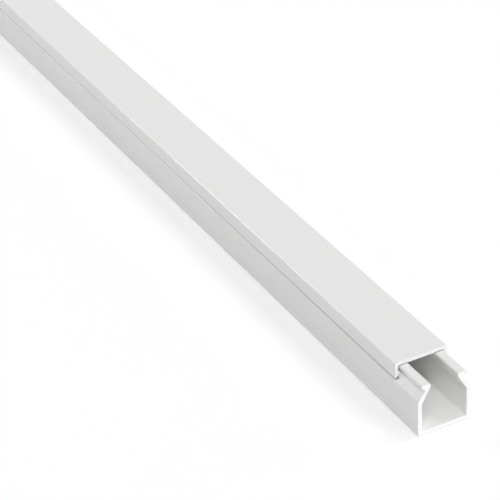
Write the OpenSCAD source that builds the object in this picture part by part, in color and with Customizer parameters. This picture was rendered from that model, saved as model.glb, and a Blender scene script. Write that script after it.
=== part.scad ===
// Mini cable trunking: an extruded channel with a clip-on lid that slides along it.
// X runs along the trunking, with the open end at +X. The origin is the middle of the back of the base.

/* [Stock] */
// Length of the base, and of its lid
stock_length = 1000; // [100:10:3000]
// How far the lid is slid back from the open end of the base
lid_slid_back = 11; // [0:0.5:60]

/* [Base] */
// Width across the outside of the base, and of its lid
base_width = 16; // [12:0.5:60]
// Height of the base to the top of its lips
base_height = 15.5; // [10:0.1:60]
// Thickness of the back, which goes against the wall
back_thickness = 1.2; // [0.8:0.1:2.4]
// Thickness of the upright sides
side_thickness = 1.2; // [0.8:0.1:2]
// Height of the shoulder, from the top of the upright side to the top of the lip
shoulder_height = 4.75; // [4.25:0.05:5.4]
// Angle at which the outside of the shoulder leans in from the upright
shoulder_lean = 37; // [33:1:40]
// Angle between the outside and the inside of the shoulder, which thins towards the lip
shoulder_taper = 7.5; // [5:0.5:9]
// How far the bend from side to shoulder lies lower on the inside than on the outside
bend_drop = 0.9; // [0.7:0.05:1.1]
// Height of the upright neck on the inside of the lip
neck_height = 0.9; // [0.7:0.1:1.4]
// Thickness of the lip at its tip
lip_thickness = 1; // [0.8:0.1:1.2]
// Angle at which the underside of the lip rises from its root to its tip
lip_rise = 18; // [10:1:26]

/* [Lid] */
// Thickness of the lid's top plate
lid_thickness = 1; // [0.8:0.1:2]
// Thickness of the lid's legs
leg_thickness = 0.95; // [0.7:0.05:1.2]
// Thickness of a leg at its tip, which closes on the shoulder
leg_tip_thickness = 0.45; // [0.2:0.05:0.6]

/* [Clip] */
// Clearance between the lid's legs and the base
clip_clearance = 0.25; // [0.1:0.05:0.3]
// Play between the nib of a leg and the underside of the lip that holds it
clip_play = 0.95; // [0.3:0.05:1.1]

/* [Rounding] */
// Radius of the base's back corners
back_corner_radius = 0.8; // [0:0.05:1]
// Radius inside the channel, between the back and the sides
channel_corner_radius = 0.3; // [0:0.05:1]
// Radius on the outside of the bend from side to shoulder
bend_radius = 0.5; // [0.2:0.1:2]
// Radius on the lips' inside edges, at the mouth of the channel
mouth_radius = 0.4; // [0:0.05:0.6]
// Radius on the lips' tips and roots
lip_radius = 0.45; // [0:0.05:0.45]
// Radius on the lid's top edges
lid_edge_radius = 0.45; // [0:0.05:0.7]
// Radius on the nibs and the tips of the legs
nib_radius = 0.1; // [0:0.02:0.15]

/* [Hidden] */

// Largest turn between neighbouring points of a rounded corner, in degrees
arc_step = 12;
// Largest share of an edge that the rounding of one corner may take up
edge_share = 0.45;

half_width = base_width / 2;
side_height = base_height - shoulder_height;
inside_half_width = half_width - side_thickness;

// Unit vectors up the shoulder and square out of it, on the +Y side
up_shoulder = [-sin(shoulder_lean), cos(shoulder_lean)];
off_shoulder = [cos(shoulder_lean), sin(shoulder_lean)];

// The bend from side to shoulder, outside and inside, and the foot of the neck at the shoulder's upper end
bend_outside = [half_width, side_height];
bend_inside = [inside_half_width, side_height - bend_drop];
neck_foot_z = base_height - neck_height;
neck_foot = [
    inside_half_width - (neck_foot_z - bend_inside.y) * tan(shoulder_lean - shoulder_taper),
    neck_foot_z
];

// The lip's tip stands clear of the leg, and its underside runs back to the shoulder
leg_inside = half_width - leg_thickness;
lip_tip = [leg_inside - clip_clearance, base_height - lip_thickness];
along_lip = [cos(lip_rise), sin(lip_rise)];
lip_length = (lip_tip - bend_outside) * off_shoulder / (along_lip * off_shoulder);
lip_root = lip_tip - lip_length * along_lip;

// The nib fills the pocket between the lip and the shoulder, with its top along the lip's underside
nib_nose = lip_root - clip_play * up_shoulder + clip_clearance * off_shoulder;
nib_root = nib_nose + (leg_inside - nib_nose.x) / along_lip.x * along_lip;
leg_tip_y = half_width - leg_tip_thickness;
leg_tip = nib_nose + (leg_tip_y - nib_nose.x) / up_shoulder.x * up_shoulder;
lid_top = base_height + lid_thickness;

// Outline of the base's +Y side as [point, corner radius], from its back corner to the inside corner
base_side = [
    [[half_width, 0], back_corner_radius],
    [bend_outside, bend_radius],
    [lip_root, lip_radius],
    [lip_tip, lip_radius],
    [[lip_tip.x, base_height], lip_radius],
    [[neck_foot.x, base_height], mouth_radius],
    [neck_foot, bend_radius / 2],
    [bend_inside, bend_radius / 2],
    [[inside_half_width, back_thickness], channel_corner_radius]
];

// Outline of the lid's +Y side as [point, corner radius], from its top edge to the corner under the plate
lid_side = [
    [[half_width, lid_top], lid_edge_radius],
    [[half_width, leg_tip.y], nib_radius],
    [leg_tip, nib_radius],
    [nib_nose, nib_radius],
    [nib_root, nib_radius],
    [[leg_inside, base_height], lip_radius]
];

// A side outline followed by its mirror image, as one closed outline
function both_sides(side) = concat(
    side,
    [for (i = [len(side) - 1 : -1 : 0]) [[-side[i][0].x, side[i][0].y], side[i][1]]]
);

function unit(v) = v / norm(v);

function turned(v, angle) = [
    v.x * cos(angle) - v.y * sin(angle),
    v.x * sin(angle) + v.y * cos(angle)
];

// Points that round the corner at b, between a and c, limited by the lengths of its two edges
function rounded_corner(a, b, c, radius) =
    let (
        to_a = unit(a - b),
        to_c = unit(c - b),
        half_angle = acos(to_a * to_c) / 2,
        longest_reach = edge_share * min(norm(a - b), norm(c - b)),
        reach = min(radius / tan(half_angle), longest_reach),
        fitted_radius = reach * tan(half_angle),
        centre = b + fitted_radius / sin(half_angle) * unit(to_a + to_c),
        sweep = sign(cross(b - a, c - b)) * (180 - 2 * half_angle),
        steps = ceil(abs(sweep) / arc_step),
        first = b + reach * to_a - centre
    )
    radius == 0 ? [b] : [for (i = [0 : steps]) centre + turned(first, sweep * i / steps)];

function rounded(outline) =
    let (n = len(outline))
    [
        for (i = [0 : n - 1])
            each rounded_corner(
                outline[(i + n - 1) % n][0], outline[i][0], outline[(i + 1) % n][0], outline[i][1]
            )
    ];

// A length of stock along X with the given outline in Y and Z
module stock(outline) {
    rotate([90, 0, 90])
        linear_extrude(height = stock_length, center = true)
            polygon(rounded(outline));
}

// The channel: back, upright sides, leaning shoulders and outward lips
module base() {
    color("white") stock(both_sides(base_side));
}

// The lid: top plate with two legs, whose nibs catch under the base's lips
module lid() {
    color("white")
        translate([-lid_slid_back, 0, 0])
            stock(both_sides(lid_side));
}

base();
lid();
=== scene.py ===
"""White PVC mini cable trunking: the looks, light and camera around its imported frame.

X runs along the trunking, with the open end, from which the lid is slid back, at +X.
Lengths are in metres.
"""

import math

import bmesh
import bpy
from mathutils import Matrix, Vector


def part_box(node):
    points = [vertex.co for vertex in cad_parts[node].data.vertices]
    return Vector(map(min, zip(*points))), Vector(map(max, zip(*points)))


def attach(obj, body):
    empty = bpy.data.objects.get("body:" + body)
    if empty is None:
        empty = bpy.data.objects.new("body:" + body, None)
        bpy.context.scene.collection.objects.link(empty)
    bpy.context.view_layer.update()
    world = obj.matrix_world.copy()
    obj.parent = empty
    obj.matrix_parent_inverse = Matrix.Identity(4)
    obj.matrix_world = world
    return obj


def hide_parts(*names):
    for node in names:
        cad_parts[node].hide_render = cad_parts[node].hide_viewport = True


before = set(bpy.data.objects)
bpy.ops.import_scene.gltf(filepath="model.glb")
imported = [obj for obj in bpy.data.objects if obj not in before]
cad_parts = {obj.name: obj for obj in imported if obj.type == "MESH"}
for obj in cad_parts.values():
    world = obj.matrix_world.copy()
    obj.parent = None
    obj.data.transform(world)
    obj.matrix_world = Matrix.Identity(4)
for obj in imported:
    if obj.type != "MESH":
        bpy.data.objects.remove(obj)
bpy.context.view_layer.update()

MM = 0.001

# Extrusions
WELD = 0.0005 * MM
END_FACING = 0.99
RIM_RADIUS = 0.05 * MM
RIM_STEPS = 3
SMOOTH_BELOW = math.radians(30)

# PVC
PVC_SLOT = "white_pvc"
PVC_COLOR = Vector((0.86, 0.86, 0.855))
PVC_IOR = 1.53
MOTTLE = 0.008
MOTTLE_SIZE = 18 * MM
MOTTLE_DETAIL = 2.0
SKIN_ROUGHNESS = 0.30
TOP_ROUGHNESS = 0.65
ROUGHNESS_SPREAD = 0.05
# How squarely a face looks up where the matt finish of the tops starts, and where it is full
TOP_FACING = (0.98, 0.995)
DIE_LINE_SPACING = 0.35 * MM
DIE_LINE_LENGTH = 220 * MM
DIE_LINE_DEPTH = 0.002 * MM
DIE_LINE_DETAIL = 3.0
GRAIN_SIZE = 0.15 * MM
GRAIN_DEPTH = 0.0008 * MM
GRAIN_DETAIL = 2.0

# Sawn ends, which are the faces that look along X at least this squarely
CUT_FACING = 0.7
CUT_COLOR = Vector((0.89, 0.89, 0.885))
CUT_ROUGHNESS = 0.60
SAW_PITCH = 0.3 * MM
SAW_DEPTH = 0.004 * MM
SAW_WANDER = 1.5
SAW_TILT = math.radians(24)
# Distance between the bands of a wave texture at scale 1
WAVE_PERIOD = math.pi / 10

# Painted highlight on the lid's rounded top edges: a lighter colour, with a lower roughness
PAINTED_HIGHLIGHT_COLOR = Vector((0.95, 0.95, 0.945))
HIGHLIGHT_ROUGHNESS = 0.12
HIGHLIGHT_DEPTH = 0.30 * MM
# How squarely the edge faces up where its painted highlight and gloss start, and where they are full
HIGHLIGHT_FACING = (0.98, 0.90)

# Painted shade: a dark colour standing in for the shadow in the seams, and the power that keeps it to
# the narrowest places
PAINTED_SHADE_COLOR = Vector((0.28, 0.28, 0.275))
SHADE_GATHERING = 3.0
# Seams as how far they look for a facing surface, their spread in height and their amount of painted
# shade
LEG_SEAM = (1.5 * MM, 0.8 * MM, 3.3)
PLATE_SEAM = (1.5 * MM, 0.3 * MM, 2.1)
# Painted contact shadow along the foot of the sawn ends
CUT_FOOT = (0.6 * MM, 0.3 * MM, 2.3)
# How far the middle of the seam under the lid's legs lies below their tips
LEG_SEAM_DROP = 0.35 * MM

# Camera, aimed at a point of the floor under the trunking
AIM_FROM_OPEN_END = 104.1 * MM
AIM_ASIDE = -1.4 * MM
VIEW_AZIMUTH = 63.57
VIEW_ELEVATION = 31.77
VIEW_ROLL = math.radians(-3.35)
VIEW_DISTANCE = 593.9 * MM
CLIP_START = 10 * MM
LENS_MM = 143.2
SENSOR_MM = 36.0

# Lamps as name, azimuth and elevation in degrees, apparent size in degrees, and strength
LAMPS = (
    ("key", 180.0, 62.0, 30.0, 0.84),
    ("back", 180.0, 12.0, 40.0, 0.50),
    ("overhead", 60.0, 62.0, 20.0, 0.84),
    ("front", 90.0, 25.0, 90.0, 2.0),
    ("front_left", 60.0, 25.0, 90.0, 0.32),
    ("side", 305.7, 17.7, 9.0, 0.45),
)
# Lamps of this size in degrees and more stay out of reflections, which the white backdrop fills
MIRRORED_BELOW = 35.0
AMBIENT = 0.005

# Stage
FLOOR_HALF_SIDE = 6.0
FLOOR_DROP = 0.05 * MM
FLOOR_COLOR = Vector((0.93, 0.93, 0.93))
FLOOR_LIFT = 0.172
BACKDROP_WHITE = 1.0

# Sockets of a mix node
MIX_SHARE = 0
MIX_NUMBERS = (2, 3)
MIX_COLORS = (6, 7)
MIXED_NUMBER = 0
MIXED_COLOR = 2


def towards(azimuth, elevation):
    """Unit vector from the object to a camera or lamp, from degrees; azimuth 0 is at -Y, 90 at +X."""
    around = math.radians(azimuth)
    up = math.radians(elevation)
    level = math.cos(up)
    return Vector((math.sin(around) * level, -math.cos(around) * level, math.sin(up)))


def opaque(color):
    """A colour with full alpha, as node sockets take it."""
    return (*color, 1.0)


def add_object(name, data):
    """A new object in the scene."""
    made = bpy.data.objects.new(name, data)
    bpy.context.scene.collection.objects.link(made)
    return made


# Meshes


def end_outline(node):
    """Corners of a CAD extrusion's +X end as (y, z), anticlockwise seen from +X."""
    work = bmesh.new()
    work.from_mesh(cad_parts[node].data)
    bmesh.ops.remove_doubles(work, verts=work.verts[:], dist=WELD)
    end = bmesh.utils.face_join([face for face in work.faces if face.normal.x > END_FACING])
    outline = [Vector((corner.co.y, corner.co.z)) for corner in end.verts]
    work.free()
    return outline


def inset(outline, depth):
    """The outline moved into the material by depth."""
    moved = []
    for i, point in enumerate(outline):
        before = (point - outline[i - 1]).normalized()
        after = (outline[(i + 1) % len(outline)] - point).normalized()
        inward = Vector((-before.y - after.y, before.x + after.x))
        moved.append(point + inward * (2 * depth / inward.length_squared))
    return moved


def rim_steps():
    """Steps of a rounded rim as (distance from the end, inset), from the end inwards."""
    turns = [math.pi / 2 * i / RIM_STEPS for i in range(RIM_STEPS + 1)]
    return [(RIM_RADIUS * (1 - math.cos(turn)), RIM_RADIUS * (1 - math.sin(turn))) for turn in turns]


def extrusion_mesh(node):
    """A clean mesh of a CAD extrusion, smooth round its bends, with its sawn rims just broken."""
    outline = end_outline(node)
    low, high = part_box(node)
    stations = [(low.x + along, depth) for along, depth in rim_steps()]
    stations += [(high.x - along, depth) for along, depth in reversed(rim_steps())]

    work = bmesh.new()
    rings = []
    for x, depth in stations:
        rings.append([work.verts.new((x, *point)) for point in inset(outline, depth)])
    for ring, following in zip(rings, rings[1:]):
        for i in range(len(outline)):
            work.faces.new((ring[i - 1], ring[i], following[i], following[i - 1]))
    work.faces.new(rings[0])
    work.faces.new(rings[-1])
    bmesh.ops.recalc_face_normals(work, faces=work.faces[:])
    mesh = bpy.data.meshes.new(f"{node}_extrusion")
    work.to_mesh(mesh)
    work.free()
    mesh.shade_smooth()
    mesh.set_sharp_from_angle(angle=SMOOTH_BELOW)
    return mesh


def extrusion(node, material):
    """The visible piece that stands for a CAD extrusion and moves with its body of the same name."""
    piece = add_object(f"{node}_extrusion", extrusion_mesh(node))
    piece.data.materials.append(material)
    flatten = piece.modifiers.new("flat_faces_stay_flat", "WEIGHTED_NORMAL")
    flatten.keep_sharp = True
    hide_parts(node)
    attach(piece, node)


# Materials


class Tree:
    """Makes and links the nodes of one material or world."""

    def __init__(self, owner):
        owner.use_nodes = True
        self.nodes = owner.node_tree.nodes
        self.links = owner.node_tree.links
        self.nodes.clear()

    def add(self, kind, inputs=None, **settings):
        """A node with its settings, its inputs set to values or linked to other nodes' outputs."""
        node = self.nodes.new("ShaderNode" + kind)
        for name, value in settings.items():
            setattr(node, name, value)
        for name, value in (inputs or {}).items():
            if isinstance(value, bpy.types.NodeSocket):
                self.links.new(value, node.inputs[name])
            else:
                node.inputs[name].default_value = value
        return node

    def math(self, operation, first, second=0.0):
        """The result of a math node."""
        return self.add("Math", {0: first, 1: second}, operation=operation).outputs[0]

    def mix(self, share, first, second):
        """A number that goes from first to second as share goes from 0 to 1."""
        inputs = {MIX_SHARE: share, MIX_NUMBERS[0]: first, MIX_NUMBERS[1]: second}
        return self.add("Mix", inputs).outputs[MIXED_NUMBER]

    def mix_colors(self, share, first, second):
        """A colour that goes from first to second as share goes from 0 to 1."""
        inputs = {MIX_SHARE: share, MIX_COLORS[0]: first, MIX_COLORS[1]: second}
        return self.add("Mix", inputs, data_type="RGBA").outputs[MIXED_COLOR]

    def ramp(self, value, start, full):
        """A number that goes from 0 to 1 as value goes from start to full."""
        inputs = {"Value": value, "From Min": start, "From Max": full}
        return self.add("MapRange", inputs).outputs[0]

    def noise(self, place, size, detail):
        """Noise with features of one size, from 0 to 1."""
        inputs = {"Vector": place, "Scale": 1 / size, "Detail": detail}
        return self.add("TexNoise", inputs).outputs["Fac"]


def seam(tree, height, level, reach, spread, amount):
    """Share of painted shade in a seam at one level, darkest where surfaces close in on each other."""
    away = tree.math("ABSOLUTE", tree.math("SUBTRACT", height, level))
    near = tree.ramp(away, spread, spread / 2)
    openness = tree.add("AmbientOcclusion", {"Distance": reach}).outputs["AO"]
    closed_in = tree.math("MULTIPLY", tree.math("SUBTRACT", 1.0, openness), amount)
    gathered = tree.math("POWER", closed_in, SHADE_GATHERING)
    return tree.math("MINIMUM", tree.math("MULTIPLY", near, gathered), 1.0)


def painted_seam_shade(tree, height, cut):
    """Share of painted shade under the lid's legs and its plate, and of painted contact shadow along
    the foot of the sawn ends.
    """
    under_legs = seam(tree, height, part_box("lid")[0].z - LEG_SEAM_DROP, *LEG_SEAM)
    under_plate = seam(tree, height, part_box("base")[1].z, *PLATE_SEAM)
    # Painted contact shadow where the sawn ends meet the floor
    at_foot = tree.math("MULTIPLY", cut, seam(tree, height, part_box("base")[0].z, *CUT_FOOT))
    return tree.math("MAXIMUM", at_foot, tree.math("MAXIMUM", under_legs, under_plate))


def painted_highlight_edge(tree, height, facing_up, cut):
    """1 on the rounded top edges of the lid, where a highlight is painted into the colour and the
    roughness is lowered, and 0 elsewhere.
    """
    lid_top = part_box("lid")[1].z
    high = tree.ramp(height, lid_top - HIGHLIGHT_DEPTH, lid_top - HIGHLIGHT_DEPTH / 2)
    turned_aside = tree.ramp(facing_up, *HIGHLIGHT_FACING)
    uncut = tree.math("SUBTRACT", 1.0, cut)
    return tree.math("MULTIPLY", tree.math("MULTIPLY", high, turned_aside), uncut)


def pvc_patterns(tree, place):
    """The die lines along X, the grain, the mottle and the saw marks, each from 0 to 1."""
    drawn_out = (DIE_LINE_SPACING / DIE_LINE_LENGTH, 1.0, 1.0)
    along = tree.add("Mapping", {"Vector": place, "Scale": drawn_out})
    die_lines = tree.noise(along.outputs[0], DIE_LINE_SPACING, DIE_LINE_DETAIL)
    grain = tree.noise(place, GRAIN_SIZE, GRAIN_DETAIL)
    mottle = tree.noise(place, MOTTLE_SIZE, MOTTLE_DETAIL)

    tilted = tree.add("Mapping", {"Vector": place, "Rotation": (SAW_TILT, 0.0, 0.0)})
    waves = {
        "Vector": tilted.outputs[0],
        "Scale": WAVE_PERIOD / SAW_PITCH,
        "Distortion": SAW_WANDER,
    }
    saw_marks = tree.add("TexWave", waves, bands_direction="Z").outputs["Fac"]
    return die_lines, grain, mottle, saw_marks


def pvc_color(tree, mottle, cut, painted_highlight_and_gloss, painted_shade):
    """White skin, lighter on sawn ends, with a painted highlight on the lid's top edges and painted
    shade in the seams.
    """
    lighter = opaque(PVC_COLOR * (1 + MOTTLE))
    darker = opaque(PVC_COLOR * (1 - MOTTLE))
    skin = tree.mix_colors(mottle, darker, lighter)
    clean = tree.mix_colors(cut, skin, opaque(CUT_COLOR))
    # Painted highlight: the lid's rounded top edges are made lighter in colour
    highlighted = tree.mix_colors(painted_highlight_and_gloss, clean, opaque(PAINTED_HIGHLIGHT_COLOR))
    # Painted shade: the seams and the foot of the sawn ends are darkened in colour
    return tree.mix_colors(painted_shade, highlighted, opaque(PAINTED_SHADE_COLOR))


def varied_roughness(tree, pattern, middle):
    """A roughness that follows a pattern, a little to either side of its middle value."""
    return tree.mix(pattern, middle - ROUGHNESS_SPREAD, middle + ROUGHNESS_SPREAD)


def pvc_roughness(tree, die_lines, grain, facing_up, cut, painted_highlight_and_gloss):
    """Satin skin, matt on the tops, rough on the sawn ends and smooth on the lid's highlighted top
    edges.
    """
    satin = varied_roughness(tree, die_lines, SKIN_ROUGHNESS)
    matt = varied_roughness(tree, die_lines, TOP_ROUGHNESS)
    skin = tree.mix(tree.ramp(facing_up, *TOP_FACING), satin, matt)
    sawn = varied_roughness(tree, grain, CUT_ROUGHNESS)
    return tree.mix(painted_highlight_and_gloss, tree.mix(cut, skin, sawn), HIGHLIGHT_ROUGHNESS)


def pvc_bump(tree, die_lines, grain, saw_marks, cut):
    """Die lines on the skin, saw marks on the sawn ends, and a fine grain on both."""
    marks = tree.mix(cut, die_lines, saw_marks)
    marks_relief = tree.math("MULTIPLY", marks, tree.mix(cut, DIE_LINE_DEPTH, SAW_DEPTH))
    grain_relief = tree.math("MULTIPLY", grain, GRAIN_DEPTH)
    relief = tree.math("ADD", marks_relief, grain_relief)
    return tree.add("Bump", {"Strength": 1.0, "Distance": 1.0, "Height": relief}).outputs[0]


def pvc():
    """Satin extruded PVC with matt tops and sawn ends, a painted highlight on the lid's top edges and
    painted shade in its seams.
    """
    material = bpy.data.materials.new(PVC_SLOT)
    tree = Tree(material)
    coordinates = tree.add("TexCoord").outputs
    place = coordinates["Object"]
    height = tree.add("SeparateXYZ", {0: place}).outputs["Z"]
    facing = tree.add("SeparateXYZ", {0: coordinates["Normal"]}).outputs
    cut = tree.math("GREATER_THAN", tree.math("ABSOLUTE", facing["X"]), CUT_FACING)
    # Mask of the painted highlight and the lower roughness on the lid's top edges
    painted_highlight_and_gloss = painted_highlight_edge(tree, height, facing["Z"], cut)
    # Mask of the painted shade in the seams and at the foot of the sawn ends
    painted_shade = painted_seam_shade(tree, height, cut)
    die_lines, grain, mottle, saw_marks = pvc_patterns(tree, place)

    surface = {
        "Base Color": pvc_color(tree, mottle, cut, painted_highlight_and_gloss, painted_shade),
        "Roughness": pvc_roughness(tree, die_lines, grain, facing["Z"], cut, painted_highlight_and_gloss),
        "IOR": PVC_IOR,
        "Normal": pvc_bump(tree, die_lines, grain, saw_marks, cut),
    }
    shader = tree.add("BsdfPrincipled", surface)
    tree.add("OutputMaterial", {"Surface": shader.outputs[0]})
    return material


def seen_directly(tree):
    """1 for camera, glossy and transmission rays, which see the white backdrop, and 0 for the rest."""
    path = tree.add("LightPath").outputs
    mirrored = tree.math("MAXIMUM", path["Is Glossy Ray"], path["Is Transmission Ray"])
    return tree.math("MAXIMUM", path["Is Camera Ray"], mirrored)


def floor_material():
    """Pale matte floor, lifted to white where it is seen unshaded, so that it keeps the shadow."""
    material = bpy.data.materials.new("floor")
    tree = Tree(material)
    matte = tree.add("BsdfDiffuse", {"Color": opaque(FLOOR_COLOR)})
    strength = tree.math("MULTIPLY", seen_directly(tree), FLOOR_LIFT)
    lift = tree.add("Emission", {"Strength": strength})
    both = tree.add("AddShader", {0: matte.outputs[0], 1: lift.outputs[0]})
    tree.add("OutputMaterial", {"Surface": both.outputs[0]})
    return material


# Stage, light and camera


def add_floor():
    """A wide floor just under the trunking."""
    mesh = bpy.data.meshes.new("floor")
    side = FLOOR_HALF_SIDE
    plan = ((-side, -side), (side, -side), (side, side), (-side, side))
    corners = [(x, y, -FLOOR_DROP) for x, y in plan]
    mesh.from_pydata(corners, [], [(0, 1, 2, 3)])
    mesh.materials.append(floor_material())
    add_object("floor", mesh)


def add_world():
    """An even soft light all round, seen as a white backdrop."""
    world = bpy.data.worlds.new("studio")
    tree = Tree(world)
    strength = tree.mix(seen_directly(tree), AMBIENT, BACKDROP_WHITE)
    light = tree.add("Background", {"Color": (1.0, 1.0, 1.0, 1.0), "Strength": strength})
    tree.add("OutputWorld", {"Surface": light.outputs[0]})
    bpy.context.scene.world = world


def add_lamps():
    """Soft lamps, far enough away to light the whole length alike."""
    for name, azimuth, elevation, size, strength in LAMPS:
        lamp = bpy.data.lights.new(name, "SUN")
        lamp.energy = strength
        lamp.angle = math.radians(size)
        made = add_object(name, lamp)
        made.rotation_mode = "QUATERNION"
        made.rotation_quaternion = towards(azimuth, elevation).to_track_quat("Z", "Y")
        made.visible_glossy = size < MIRRORED_BELOW


def add_camera():
    """The photograph's camera."""
    open_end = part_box("base")[1].x
    aim = Vector((open_end - AIM_FROM_OPEN_END, AIM_ASIDE, 0.0))
    back = towards(VIEW_AZIMUTH, VIEW_ELEVATION)
    place = Matrix.Translation(aim + back * VIEW_DISTANCE)
    level = back.to_track_quat("Z", "Y").to_matrix().to_4x4()
    roll = Matrix.Rotation(VIEW_ROLL, 4, "Z")
    data = bpy.data.cameras.new("camera")
    data.lens = LENS_MM
    data.sensor_width = SENSOR_MM
    data.clip_start = CLIP_START
    camera = add_object("camera", data)
    camera.matrix_world = place @ level @ roll
    bpy.context.scene.camera = camera


bpy.context.scene.view_settings.view_transform = "Standard"
white_pvc = pvc()
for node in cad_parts:
    extrusion(node, white_pvc)
add_floor()
add_world()
add_lamps()
add_camera()
